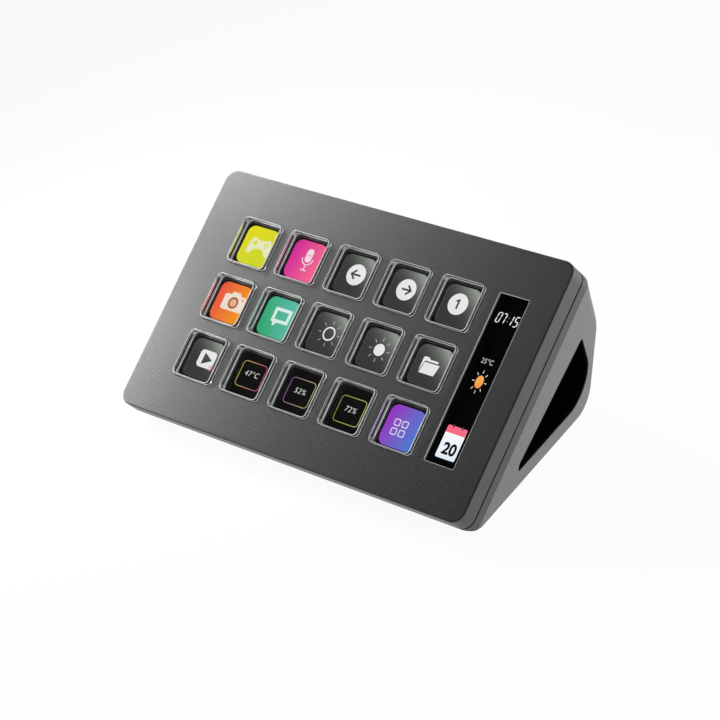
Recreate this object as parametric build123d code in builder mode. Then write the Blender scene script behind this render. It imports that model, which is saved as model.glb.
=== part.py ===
# Macro keypad: fifteen clear keys over one display, with an information strip beside them,
# in a wedge-shaped case with a cable tunnel through it from side to side.
# Millimetres. X runs to the right, Y to the back and Z up; Z = 0 is the table.
import os
from math import cos, radians, sin, tan

from build123d import *

os.makedirs("parts", exist_ok=True)

# Keys
cols, rows = 5, 3
pitch = 20.0
key_space_x, key_space_y = 4.7, 4.5
cap_r = 1.7
cap_edge_r = 0.4
cap_proud = 1.5
cap_gap = 0.25
cap_skirt = 0.5  # below the flange
flange_out = 1.0
flange_t = 0.8
flange_gap = 0.1
travel = 1.2

# Layers under the face
face_wall = 1.6
under_cap = 0.4  # left under a key that is pressed right down
sheet_t = 0.6
board_t = 0.8
glass_t = 1.1
backlight_t = 1.7
floor_t = 1.2
guide_gap = 0.3
guide_rim_x, guide_rim_y = 1.65, 2.15
collar_gap = 0.3
board_inset = 0.1
board_step = 1.3  # board's lower edge inside the display's
window_rim = 0.35
lcd_border_x, lcd_border_y = 2.95, 7.05

# Information strip
strip_w = 11.1
strip_trim = 0.35  # shorter than the key field at each end
strip_r = 0.6
lens_border = 1.5
lens_gap = 0.25
lens_t = 1.0
spacer_gap = 0.3

# Case
corner_r = 4.2
edge_r = 0.5
tilt = 39.0  # face against the table
draft = 13.0  # lean of the side and top walls behind the straight band
wall = 1.8
rear_wall = 1.6
seam_depth = 6.35  # front shell ends and band begins
seam_gap = 0.7
left_room, right_room = 10.0, 3.65  # between the display and the lip
toe_cut = 1.15  # front edge of the base, short of the band's depth
rear_room = 2.73  # from the cable socket to the rear wall
base_r = 7.5  # front and rear corners of the base

# Band with its floor, and what holds the head together
lip_gap = 0.1
lip_t = 1.2
lip_rise = 2.0
post_r = 1.6
post_gap = 0.4
post_slack = 0.4
post_side = 1.4
pad_t = 1.8
screw_slack = 0.03
case_screw_r = 0.95
case_screw_len = 5.0
case_head_t = 0.8
head_scale = 1.9  # screw head radius over shank radius
head_t = 1.2
cross_w = 0.4  # width of the cross slot over shank radius

# Main board behind the floor
standoff_r = 2.5
standoff_h = 2.0
pcb_t = 1.6
pcb_w, pcb_h = 84.0, 46.5
pcb_top_gap = 3.4
pcb_r = 2.0
pcb_screw_r = 1.2
pcb_screw_in = 4.0
pcb_screw_len = 4.2

# Chips, placed from the middle of the board's lower edge
processor_x, processor_y, processor_w, processor_t = -14.0, 22.0, 12.0, 1.4
memory_x, memory_y, memory_w, memory_h, memory_t = 6.0, 24.0, 6.0, 5.0, 1.0
clock_y, clock_w, clock_h, clock_t = 35.0, 5.0, 3.2, 0.9
passive_x, passive_y, passive_step, passive_rise = 16.0, 12.0, 4.0, 20.0
passive_w, passive_t = 1.6, 0.8

# Flex cables and their sockets
lcd_flex_in, lcd_flex_w = 16.0, 20.0
key_flex_in, key_flex_w = 12.0, 10.0
flex_t = 0.3
flex_out = 1.2
flex_slot = 0.5
flex_run = 6.0  # flat against the floor before it rises to its socket
flex_rise = 8.0
socket_in = 1.5
socket_side = 1.0
socket_d = 4.0
socket_t = 1.5

# Cable socket in the top wall
usb_w, usb_t = 8.94, 3.26
usb_len = 7.3
usb_set_in = 1.7
usb_skin = 0.3
usb_back = 1.2
usb_tongue_w, usb_tongue_t = 6.7, 0.7
usb_clear = 0.28

# Cable tunnel
roof_low, roof_low_depth = -16.4, 18.95  # ends of its upper wall: place up the slope, depth
roof_high, roof_high_depth = 27.15, 23.55
tunnel_floor = 5.5  # above the flat bottom
tunnel_rear = 3.2  # from it to the outside of the rear wall
tunnel_back_h = 13.05
tunnel_rear_r = 10.4
tunnel_tip_r = 1.2
liner_wall = 1.2
liner_tip_r = 0.3
liner_gap = 0.05
liner_set_in = 0.25

# Screws from the tunnel into the band, and from the base into the band
deck_screw_r = 1.3
deck_screw_out = 5.4
deck_screw_span = 26.0
deck_screw_len = 9.0
deck_boss_r = 2.6
toe_screw_x = 44.0
toe_screw_y = -12.0
toe_screw_r = 1.5
toe_boss_r = 3.2
toe_pad_r = 4.2
toe_pad_h = 4.0
toe_recess = 2.4

# Feet, placed like the base screws from the face centre towards the back
foot_proud = 0.8
foot_sunk = 0.4
foot_l, foot_w = 100.0, 9.0
rear_foot_y = 32.0

# Depths behind the face
flange_top = face_wall + flange_gap
flange_bottom = flange_top + flange_t
cap_bottom = flange_bottom + cap_skirt
guide_bottom = cap_bottom + travel + under_cap
sheet_bottom = guide_bottom + sheet_t
board_bottom = sheet_bottom + board_t
glass_bottom = board_bottom + glass_t
lcd_bottom = glass_bottom + backlight_t
post_bottom = lcd_bottom - pad_t
band_depth = lcd_bottom + floor_t  # band ends and rear shell begins
pcb_front = band_depth + standoff_h
pcb_back = pcb_front + pcb_t
usb_depth = pcb_back + usb_t / 2
flex_depth = pcb_back + socket_t / 2

# Widths and heights, from the keys outwards
cap_w, cap_h = pitch - key_space_x, pitch - key_space_y
field_w, field_h = cols * pitch - key_space_x, rows * pitch - key_space_y
guide_w = field_w + 2 * (flange_out + guide_gap + guide_rim_x)
guide_h = field_h + 2 * (flange_out + guide_gap + guide_rim_y)
active_w = (field_w + guide_w) / 2 + lens_gap + lens_border + strip_w
strip_h = field_h - 2 * strip_trim
lcd_w, lcd_h = active_w + 2 * lcd_border_x, field_h + 2 * lcd_border_y
board_w, board_h = guide_w - 2 * board_inset, lcd_h - 2 * board_step
window_w = cap_w - 2 * window_rim
lip_in = wall + lip_gap + lip_t
face_w = lcd_w + left_room + right_room + 2 * lip_in
face_h = lcd_h + 2 * (post_gap + 2 * post_r + post_slack + lip_in)
lcd_x = (left_room - right_room) / 2
grid_x = lcd_x - (active_w - field_w) / 2
strip_x = lcd_x + (active_w - strip_w) / 2
post_x = face_w / 2 - lip_in - post_side - post_r
post_y = lcd_h / 2 + post_gap + post_r
pcb_high = face_h / 2 - pcb_top_gap
pcb_low = pcb_high - pcb_h
pcb_x = pcb_w / 2 - pcb_screw_in
usb_mouth = face_h / 2 - usb_set_in
deck_screw_x = pcb_w / 2 + deck_boss_r + deck_screw_out
lcd_flex_x, key_flex_x = pcb_x - lcd_flex_in, key_flex_in - pcb_x
flex_drop_y = -lcd_h / 2 - flex_out
socket_y = pcb_low + socket_in

a = radians(tilt)


def behind(y, d):
    # Y and Z from the face centre of a place y up the slope and d behind the face.
    return y * cos(a) + d * sin(a), y * sin(a) - d * cos(a)


base_drop = -behind(-face_h / 2, band_depth - toe_cut)[1]  # face centre above the flat bottom
rear_reach = behind(face_h / 2, usb_depth + usb_t / 2)[0] + rear_room  # face centre to the rear wall
front_reach = edge_r - behind(edge_r - face_h / 2, edge_r)[0]
full_depth = base_drop + rear_reach  # beyond the deepest corner of the wedge
face_y = (front_reach - rear_reach) / 2
face_z = foot_proud + base_drop
face = Plane(origin=(0, face_y, face_z), x_dir=(1, 0, 0), z_dir=(0, -sin(a), cos(a)))
base = Plane.XY.offset(foot_proud)

tunnel_back = rear_reach - tunnel_rear
tunnel_low = tunnel_floor - base_drop
tunnel_tip = behind(roof_low, roof_low_depth)
tunnel_top = behind(roof_high, roof_high_depth)
tunnel = [
    tunnel_top,
    (tunnel_back, tunnel_low + tunnel_back_h),
    (tunnel_back, tunnel_low),
    (tunnel_tip[0], tunnel_low),
    tunnel_tip,
]


def depth(d):
    # Plane parallel to the face, d behind it.
    return face.offset(-d)


def along(y):
    # Plane square to the slope, y up it from the face centre. Its own y is the depth.
    return Plane(origin=face.from_local_coords((0, y, 0)), x_dir=(1, 0, 0), z_dir=(0, cos(a), sin(a)))


def case_block(inset, *depths):
    # Solid with the case's outer shape between the given depths, every wall set in by inset.
    low_z = foot_proud + inset
    side = -face_h / 2 + inset
    toe_depth = (face_z - low_z + side * sin(a)) / cos(a)
    toe = (face_y + behind(side, toe_depth)[0], low_z)
    brow = (face_y + behind(side, -full_depth)[0], face_z + behind(side, -full_depth)[1])
    rear = face_y + rear_reach - inset
    with BuildPart() as block:
        for d in depths:
            lean = tan(radians(draft)) * max(d - band_depth, 0)
            top = face_h / 2 - inset - lean
            with BuildSketch(depth(d)):
                with Locations((0, (top + side) / 2)):
                    RectangleRounded(face_w - 2 * (inset + lean), top - side, corner_r - inset)
        loft(ruled=True)
        with BuildSketch(Plane.YZ):
            with BuildLine():
                Polyline(toe, (rear, low_z), (rear, 2 * face_h), (brow[0], 2 * face_h), brow, close=True)
            make_face()
            fillet(vertices().sort_by(Axis.Y)[:2], base_r - inset)
        extrude(amount=face_w, both=True, mode=Mode.INTERSECT)
    return block.part


def tunnel_block(inset, tip_r):
    # Prism of the cable tunnel, set in by inset all round, its sharp corners rounded by tip_r.
    with BuildPart() as block:
        with BuildSketch(Plane(origin=(0, face_y, face_z), x_dir=(0, 1, 0), z_dir=(1, 0, 0))):
            with BuildLine():
                Polyline(*tunnel, close=True)
            make_face()
            if inset:
                offset(amount=-inset, kind=Kind.INTERSECTION, mode=Mode.REPLACE)
            fillet(vertices().sort_by(Axis.X)[:3], tip_r)
            fillet(vertices().sort_by(Axis.X)[-2:], tunnel_rear_r - inset)
        extrude(amount=face_w, both=True)
    return block.part


def save(shape, name):
    shape.label = name
    export_step(shape, f"parts/{name}.step")


# Plane on the tunnel's upper wall, facing the display
deck_low, deck_high = Vector(0, *tunnel_tip), Vector(0, *tunnel_top)
deck = Plane(
    origin=Vector(0, face_y, face_z) + (deck_low + deck_high) * 0.5,
    x_dir=(1, 0, 0),
    z_dir=Vector(1, 0, 0).cross(deck_high - deck_low),
)
deck_y = deck_screw_span / 2
deck_spots = [(x, y) for x in (-deck_screw_x, deck_screw_x) for y in (-deck_y, deck_y)]
toe_spots = [(x, face_y + toe_screw_y) for x in (-toe_screw_x, toe_screw_x)]
post_spots = [(x, y) for x in (-post_x, 0, post_x) for y in (-post_y, post_y)]
pcb_spots = [(x, y) for x in (-pcb_x, pcb_x) for y in (pcb_low + pcb_screw_in, pcb_high - pcb_screw_in)]
key_spots = [
    (grid_x + (col - (cols - 1) / 2) * pitch, ((rows - 1) / 2 - row) * pitch)
    for row in range(rows)
    for col in range(cols)
]


def discs(spots, radius):
    with Locations(*spots):
        Circle(radius)


def key_shapes(width, height, radius):
    with Locations(*key_spots):
        RectangleRounded(width, height, radius)


# Front shell: the face with its key holes and strip window, its side walls and its screw posts
with BuildPart() as front_shell:
    add(case_block(0, 0, seam_depth - seam_gap / 2))
    fillet(front_shell.faces().sort_by(Axis(face.origin, face.z_dir))[-1].edges(), edge_r)
    add(case_block(wall, face_wall, band_depth), mode=Mode.SUBTRACT)
    with BuildSketch(face):
        key_shapes(cap_w + 2 * cap_gap, cap_h + 2 * cap_gap, cap_r + cap_gap)
        with Locations((strip_x, 0)):
            RectangleRounded(strip_w, strip_h, strip_r)
    extrude(amount=-face_wall, mode=Mode.SUBTRACT)
    with BuildSketch(depth(face_wall)):
        discs(post_spots, post_r)
    extrude(amount=face_wall - post_bottom)
    with BuildSketch(depth(post_bottom)):
        discs(post_spots, case_screw_r + screw_slack)
    extrude(amount=case_screw_len - lip_rise, mode=Mode.SUBTRACT)
save(front_shell.part, "front_shell")

# Mid frame: the band behind the seam, its lip and floor, and the bosses behind the floor
with BuildPart() as mid_frame:
    with BuildSketch(deck):
        discs(deck_spots, deck_boss_r)
    extrude(amount=2 * band_depth)
    with BuildSketch(Plane.XY.offset(foot_proud + toe_pad_h)):
        discs(toe_spots, toe_boss_r)
    extrude(amount=2 * band_depth)
    with BuildSketch(depth(band_depth - floor_t / 2)):
        Rectangle(2 * face_w, 2 * face_h)
    extrude(amount=face_h, mode=Mode.SUBTRACT)
    add(case_block(0, seam_depth + seam_gap / 2, band_depth))
    add(case_block(wall + lip_gap, seam_depth - lip_rise, band_depth))
    add(case_block(lip_in, face_wall, lcd_bottom), mode=Mode.SUBTRACT)
    with BuildSketch(depth(band_depth)):
        discs(pcb_spots, standoff_r)
    extrude(amount=-standoff_h)
    with BuildSketch(depth(pcb_front)):
        discs(pcb_spots, pcb_screw_r + screw_slack)
    extrude(amount=pcb_screw_len - pcb_t + screw_slack, mode=Mode.SUBTRACT)
    with BuildSketch(depth(post_bottom)):
        discs(post_spots, post_r)
    extrude(amount=post_bottom - lcd_bottom)
    with BuildSketch(depth(band_depth)):
        discs(post_spots, case_screw_r * head_scale + 2 * screw_slack)
    extrude(amount=case_head_t, mode=Mode.SUBTRACT)
    with BuildSketch(depth(band_depth)):
        discs(post_spots, case_screw_r + 2 * screw_slack)
    extrude(amount=band_depth, mode=Mode.SUBTRACT)
    with BuildSketch(depth(band_depth)):
        for x, width in ((lcd_flex_x, lcd_flex_w), (key_flex_x, key_flex_w)):
            with Locations((x, flex_drop_y)):
                Rectangle(width + 2 * flex_slot, flex_t + 3 * flex_slot)
    extrude(amount=band_depth, mode=Mode.SUBTRACT)
    with BuildSketch(deck):
        discs(deck_spots, deck_screw_r + screw_slack)
    extrude(amount=deck_screw_len - liner_wall, mode=Mode.SUBTRACT)
    with BuildSketch(Plane.XY.offset(foot_proud + toe_pad_h)):
        discs(toe_spots, toe_screw_r + screw_slack)
    extrude(amount=2 * toe_pad_h, mode=Mode.SUBTRACT)
save(mid_frame.part, "mid_frame")

# Rear shell: the tapered walls, rear wall and base, open towards the band
with BuildPart() as rear_shell:
    add(case_block(0, band_depth, full_depth))
    add(case_block(rear_wall, band_depth - wall, band_depth, full_depth), mode=Mode.SUBTRACT)
    with BuildSketch(base):
        discs(toe_spots, toe_pad_r)
    extrude(amount=toe_pad_h)
    add(tunnel_block(0, tunnel_tip_r), mode=Mode.SUBTRACT)
    with BuildSketch(base):
        discs(toe_spots, toe_screw_r * head_scale + 4 * screw_slack)
    extrude(amount=toe_recess, mode=Mode.SUBTRACT)
    with BuildSketch(base):
        discs(toe_spots, toe_screw_r + 2 * screw_slack)
    extrude(amount=toe_pad_h, mode=Mode.SUBTRACT)
    with BuildSketch(base):
        for y in (toe_screw_y, rear_foot_y):
            with Locations((0, face_y + y)):
                SlotOverall(foot_l, foot_w)
    extrude(amount=foot_sunk, mode=Mode.SUBTRACT)
    with BuildSketch(along(face_h / 2)):
        with Locations((0, usb_depth)):
            SlotOverall(usb_w + 2 * usb_clear, usb_t + 2 * usb_clear)
    extrude(amount=-band_depth / 2, mode=Mode.SUBTRACT)
save(rear_shell.part, "rear_shell")

# Tunnel liner: a tube from side wall to side wall
with BuildPart() as tunnel_liner:
    add(tunnel_block(liner_gap, tunnel_tip_r - liner_gap))
    add(tunnel_block(liner_gap + liner_wall, liner_tip_r), mode=Mode.SUBTRACT)
    add(case_block(liner_set_in, band_depth, full_depth), mode=Mode.INTERSECT)
    with BuildSketch(deck):
        discs(deck_spots, deck_screw_r + 2 * screw_slack)
    extrude(amount=-2 * liner_wall, mode=Mode.SUBTRACT)
save(tunnel_liner.part, "tunnel_liner")

# Clear keycaps, each a block with a flange that keeps it under the face
for number, spot in enumerate(key_spots):
    with BuildPart() as keycap:
        with BuildSketch(depth(-cap_proud)):
            with Locations(spot):
                RectangleRounded(cap_w, cap_h, cap_r)
        extrude(amount=-cap_proud - cap_bottom)
        fillet(keycap.faces().sort_by(Axis(face.origin, face.z_dir))[-1].edges(), cap_edge_r)
        with BuildSketch(depth(flange_top)):
            with Locations(spot):
                RectangleRounded(cap_w + 2 * flange_out, cap_h + 2 * flange_out, cap_r + flange_out)
        extrude(amount=-flange_t)
    save(keycap.part, f"keycap_row{number // cols + 1}_col{number % cols + 1}")

# Key guide: the lattice that keeps the flanges apart
pocket_w, pocket_h = cap_w + 2 * (flange_out + guide_gap), cap_h + 2 * (flange_out + guide_gap)
with BuildPart() as key_guide:
    with BuildSketch(depth(face_wall)):
        with Locations((grid_x, 0)):
            RectangleRounded(guide_w, guide_h, cap_r)
        with Locations(*key_spots):
            RectangleRounded(pocket_w, pocket_h, cap_r + flange_out, mode=Mode.SUBTRACT)
    extrude(amount=face_wall - guide_bottom)
save(key_guide.part, "key_guide")

# Silicone membrane: a sheet with one springy collar under each key
with BuildPart() as key_membrane:
    with BuildSketch(depth(guide_bottom)):
        with Locations((grid_x, 0)):
            RectangleRounded(guide_w, guide_h, cap_r)
    extrude(amount=guide_bottom - sheet_bottom)
    with BuildSketch(depth(flange_bottom)):
        key_shapes(cap_w + 2 * flange_out, cap_h + 2 * flange_out, cap_r + flange_out)
    extrude(amount=flange_bottom - sheet_bottom)
    with BuildSketch(depth(flange_bottom)):
        key_shapes(cap_w + 2 * collar_gap, cap_h + 2 * collar_gap, cap_r + collar_gap)
    extrude(amount=flange_bottom - sheet_bottom, mode=Mode.SUBTRACT)
save(key_membrane.part, "key_membrane")

# Contact board with a window under each key
with BuildPart() as contact_board:
    with BuildSketch(depth(sheet_bottom)):
        with Locations((grid_x, 0)):
            RectangleRounded(board_w, board_h, cap_r)
        with Locations(*key_spots):
            RectangleRounded(window_w, window_w, cap_r, mode=Mode.SUBTRACT)
    extrude(amount=sheet_bottom - board_bottom)
save(contact_board.part, "contact_board")

# Strip lens under the face, and the spacer between it and the display
with BuildPart() as strip_lens:
    with BuildSketch(depth(face_wall)):
        with Locations((strip_x, 0)):
            RectangleRounded(strip_w + 2 * lens_border, strip_h + 2 * lens_border, strip_r)
    extrude(amount=-lens_t)
save(strip_lens.part, "strip_lens")

with BuildPart() as strip_spacer:
    with BuildSketch(depth(face_wall + lens_t)):
        with Locations((strip_x, 0)):
            RectangleRounded(strip_w + 2 * lens_border, strip_h + 2 * lens_border, strip_r)
            RectangleRounded(strip_w + 2 * spacer_gap, strip_h + 2 * spacer_gap, strip_r, mode=Mode.SUBTRACT)
    extrude(amount=face_wall + lens_t - board_bottom)
save(strip_spacer.part, "strip_spacer")

# Display: glass in front, backlight behind
for name, top, bottom in (
    ("lcd_glass", board_bottom, glass_bottom),
    ("lcd_backlight", glass_bottom, lcd_bottom),
):
    with BuildPart() as layer:
        with BuildSketch(depth(top)):
            with Locations((lcd_x, 0)):
                Rectangle(lcd_w, lcd_h)
        extrude(amount=top - bottom)
    save(layer.part, name)

# Flex cables: out of the layer's lower edge, through the floor, and back up to the main board
for name, x, width, start in (
    ("lcd_flex", lcd_flex_x, lcd_flex_w, (-lcd_h / 2, (board_bottom + glass_bottom) / 2)),
    ("key_flex", key_flex_x, key_flex_w, (-board_h / 2, (sheet_bottom + board_bottom) / 2)),
):
    low_run = band_depth + 3 * flex_t
    bends = [
        start,
        (flex_drop_y, start[1]),
        (flex_drop_y, low_run),
        (flex_drop_y + flex_run, low_run),
        (flex_drop_y + flex_run + flex_rise, flex_depth),
        (socket_y, flex_depth),
    ]
    section = Plane(origin=face.from_local_coords((x, 0, 0)), x_dir=(0, cos(a), sin(a)), z_dir=(-1, 0, 0))
    with BuildPart() as flex:
        with BuildSketch(section):
            with BuildLine():
                run = FilletPolyline(*bends, radius=2 * flex_t)
            trace(run, flex_t)
        extrude(amount=width / 2, both=True)
    save(flex.part, name)

# Main board with its parts on the back
with BuildPart() as main_board:
    with BuildSketch(depth(pcb_front)):
        with Locations((0, (pcb_low + pcb_high) / 2)):
            RectangleRounded(pcb_w, pcb_h, pcb_r)
        with Locations(*pcb_spots):
            Circle(pcb_screw_r + 2 * screw_slack, mode=Mode.SUBTRACT)
    extrude(amount=-pcb_t)
save(main_board.part, "main_board")


def chip(name, blocks):
    # Flat blocks on the back of the board: x, y from its lower edge, width, height, thickness.
    with BuildPart() as group:
        for x, y, width, height, thick in blocks:
            with BuildSketch(depth(pcb_back)):
                with Locations((x, pcb_low + y)):
                    Rectangle(width, height)
            extrude(amount=-thick)
    save(group.part, name)


chip("processor_chip", [(processor_x, processor_y, processor_w, processor_w, processor_t)])
chip("memory_chip", [(memory_x, memory_y, memory_w, memory_h, memory_t)])
chip("clock_crystal", [(processor_x, clock_y, clock_w, clock_h, clock_t)])
passives = [
    (passive_x + step * passive_step, passive_y + lift, passive_w, passive_t, passive_t)
    for step in range(4)
    for lift in (0, passive_step, passive_rise, passive_rise + passive_step)
]
chip("board_passives", passives)

with BuildPart() as flex_sockets:
    for x, width in ((lcd_flex_x, lcd_flex_w), (key_flex_x, key_flex_w)):
        with BuildSketch(depth(pcb_back)):
            with Locations((x, socket_y + socket_d / 2)):
                Rectangle(width + 2 * socket_side, socket_d)
        extrude(amount=-socket_t)
    with BuildSketch(along(socket_y)):
        for x, width in ((lcd_flex_x, lcd_flex_w), (key_flex_x, key_flex_w)):
            with Locations((x, flex_depth)):
                Rectangle(width + flex_t, 2 * flex_t)
    extrude(amount=socket_d / 4, mode=Mode.SUBTRACT)
save(flex_sockets.part, "flex_sockets")

# Cable socket: a metal shell with a tongue, its mouth in the top wall
with BuildPart() as usb_socket:
    with BuildSketch(along(usb_mouth)):
        with Locations((0, usb_depth)):
            SlotOverall(usb_w, usb_t)
    extrude(amount=-usb_len)
    with BuildSketch(along(usb_mouth)):
        with Locations((0, usb_depth)):
            SlotOverall(usb_w - 2 * usb_skin, usb_t - 2 * usb_skin)
    extrude(amount=usb_back - usb_len, mode=Mode.SUBTRACT)
    with BuildSketch(along(usb_mouth - usb_len)):
        with Locations((0, usb_depth)):
            Rectangle(usb_tongue_w, usb_tongue_t)
    extrude(amount=usb_len - usb_back)
save(usb_socket.part, "usb_socket")


def screws(plane, spots, radius, length, name, head=head_t):
    # Heads below the plane, shanks above it, each with a cross slot.
    with BuildPart() as group:
        with BuildSketch(plane):
            discs(spots, radius)
        extrude(amount=length)
        with BuildSketch(plane):
            discs(spots, radius * head_scale)
        extrude(amount=-head)
        with BuildSketch(plane.offset(-head)):
            with Locations(*spots):
                Rectangle(radius * 2, radius * cross_w)
                Rectangle(radius * cross_w, radius * 2)
        extrude(amount=head / 2, mode=Mode.SUBTRACT)
    save(group.part, name)


screws(depth(band_depth - case_head_t), post_spots, case_screw_r, case_screw_len, "case_screws", case_head_t)
screws(depth(pcb_back), pcb_spots, pcb_screw_r, pcb_screw_len, "board_screws")
screws(deck.offset(-liner_gap - liner_wall), deck_spots, deck_screw_r, deck_screw_len, "tunnel_screws")
screws(base.offset(toe_recess), toe_spots, toe_screw_r, toe_pad_h * 2, "base_screws")

# Rubber feet, glued into shallow recesses in the base
for name, y in (("front_foot", toe_screw_y), ("rear_foot", rear_foot_y)):
    with BuildPart() as foot:
        with BuildSketch(Plane.XY):
            with Locations((0, face_y + y)):
                SlotOverall(foot_l - foot_sunk, foot_w - foot_sunk)
        extrude(amount=foot_proud + foot_sunk)
    save(foot.part, name)
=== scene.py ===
import math

import bmesh
import bpy
from mathutils import Matrix, Vector


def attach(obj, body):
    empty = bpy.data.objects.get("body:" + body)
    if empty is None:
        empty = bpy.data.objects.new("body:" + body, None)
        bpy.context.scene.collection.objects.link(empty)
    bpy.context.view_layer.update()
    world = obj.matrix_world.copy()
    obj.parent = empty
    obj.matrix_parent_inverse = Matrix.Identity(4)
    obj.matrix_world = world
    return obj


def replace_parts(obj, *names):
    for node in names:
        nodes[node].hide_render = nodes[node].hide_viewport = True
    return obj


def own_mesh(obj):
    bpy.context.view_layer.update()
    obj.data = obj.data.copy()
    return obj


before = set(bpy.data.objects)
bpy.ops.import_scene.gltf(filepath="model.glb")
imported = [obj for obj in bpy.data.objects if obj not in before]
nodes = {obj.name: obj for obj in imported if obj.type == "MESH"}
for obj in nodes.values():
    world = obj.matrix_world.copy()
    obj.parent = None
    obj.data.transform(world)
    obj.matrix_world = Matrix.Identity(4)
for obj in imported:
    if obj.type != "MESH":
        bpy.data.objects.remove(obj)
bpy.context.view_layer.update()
print("frame loaded:", len(nodes), "nodes")

mm = 0.001

# The face: its tilt, its centre above the middle of the footprint, and its size, in mm
face = {"tilt": 39, "y": -6.7704, "z": 34.05, "width": 136.85, "height": 83.8}
grid = {"x": -4.725, "pitch": 20, "cols": 5, "rows": 3}  # x is the middle of the keys on the face
faceFrame = Matrix.Translation((0, face["y"] * mm, face["z"] * mm)) @ Matrix.Rotation(
    math.radians(face["tilt"]), 4, "X"
)


def onFace(x, y, z):
    return faceFrame @ Matrix.Translation(Vector((x, y, z)) * mm)


def keySpots():
    # Row, column and centre of each key, row by row from the top left
    return [(row, col, grid["x"] + (col - (grid["cols"] + 1) / 2) * grid["pitch"],
             ((grid["rows"] + 1) / 2 - row) * grid["pitch"])
            for row in range(1, grid["rows"] + 1) for col in range(1, grid["cols"] + 1)]


# Camera, lamps and floor

camera = {
    "place": (0.427982, -0.449894, 0.391445),
    "right": (0.76697699, 0.63093708, -0.1168961),
    "down": (0.25013583, -0.46173999, -0.85101601),
    "lens": 117.27,
}
lamps = {
    # name: place, aimed at, the way its length runs, length, width, watts
    "leftLow": ((-0.15, -0.0616, 0.054), (-0.05, -0.0223, 0.0215), (0, 0.777, 0.629), 0.10, 0.04, 0.205),
    "leftMiddle": ((-0.18, -0.0353, 0.101), (-0.05, -0.0068, 0.034), (0, 0.777, 0.629), 0.10, 0.04, 0.165),
    "leftHigh": ((-0.18, 0.0362, 0.1717), (-0.05, 0.0399, 0.0718), (0, 0.777, 0.629), 0.10, 0.05, 0.63),
    "topSoftbox": ((0.15, 0.10, 0.90), (0, 0, 0), (1, 0, 0), 0.9, 0.9, 0.9),
    "rightSoftbox": ((0.70, -0.10, 0.25), (0.07, 0, 0.03), (0, 1, 0), 0.4, 0.4, 2.2),
    "frontSoftbox": ((0.35, -0.55, 0.22), (0, -0.01, 0.03), (1, 0, 0), 0.3, 0.3, 1.2),
    "backRight": ((0.22, 0.16, 0.06), (0.07, 0.03, 0.045), (0, 1, 0), 0.08, 0.05, 0.38),
}
surround = {
    "sky": 0.04, "floorSize": 8, "floorWhite": 0.82, "floorGlow": 0.94,
    "floorMottle": 3, "floorShade": 0.98, "floorRoughness": 0.9,
}


def aimed(place, target, along):
    back = (Vector(place) - Vector(target)).normalized()
    side = (Vector(along) - back * back.dot(Vector(along))).normalized()
    return Matrix((side, back.cross(side), back)).transposed().to_4x4()


def makeCamera():
    data = bpy.data.cameras.new("camera")
    data.sensor_width = 36
    data.lens = camera["lens"]
    right, down = Vector(camera["right"]), Vector(camera["down"])
    turn = Matrix((right, -down, right.cross(-down))).transposed().to_4x4()
    holder = bpy.data.objects.new("camera", data)
    holder.matrix_world = Matrix.Translation(camera["place"]) @ turn
    bpy.context.scene.collection.objects.link(holder)
    bpy.context.scene.camera = holder


def makeLamps():
    for name, (place, target, along, length, width, watts) in lamps.items():
        data = bpy.data.lights.new(name, "AREA")
        data.shape = "RECTANGLE"
        data.size, data.size_y = length, width
        data.energy = watts
        holder = bpy.data.objects.new(name, data)
        holder.matrix_world = Matrix.Translation(place) @ aimed(place, target, along)
        holder.visible_camera = False
        holder.visible_glossy = not name.endswith("Softbox")  # no glare on the clear caps
        bpy.context.scene.collection.objects.link(holder)


# Shader sums: a value wraps a socket, and a finish builds one material


class Value:
    def __init__(self, finish, socket):
        self.finish, self.socket = finish, socket

    def sum(self, operation, first, second):
        return self.finish.sum(operation, first, second)

    def __add__(self, other):
        return self.sum("ADD", self, other)

    def __sub__(self, other):
        return self.sum("SUBTRACT", self, other)

    def __mul__(self, other):
        return self.sum("MULTIPLY", self, other)

    def __radd__(self, other):
        return self.sum("ADD", other, self)

    def __rsub__(self, other):
        return self.sum("SUBTRACT", other, self)

    def __rmul__(self, other):
        return self.sum("MULTIPLY", other, self)


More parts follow.
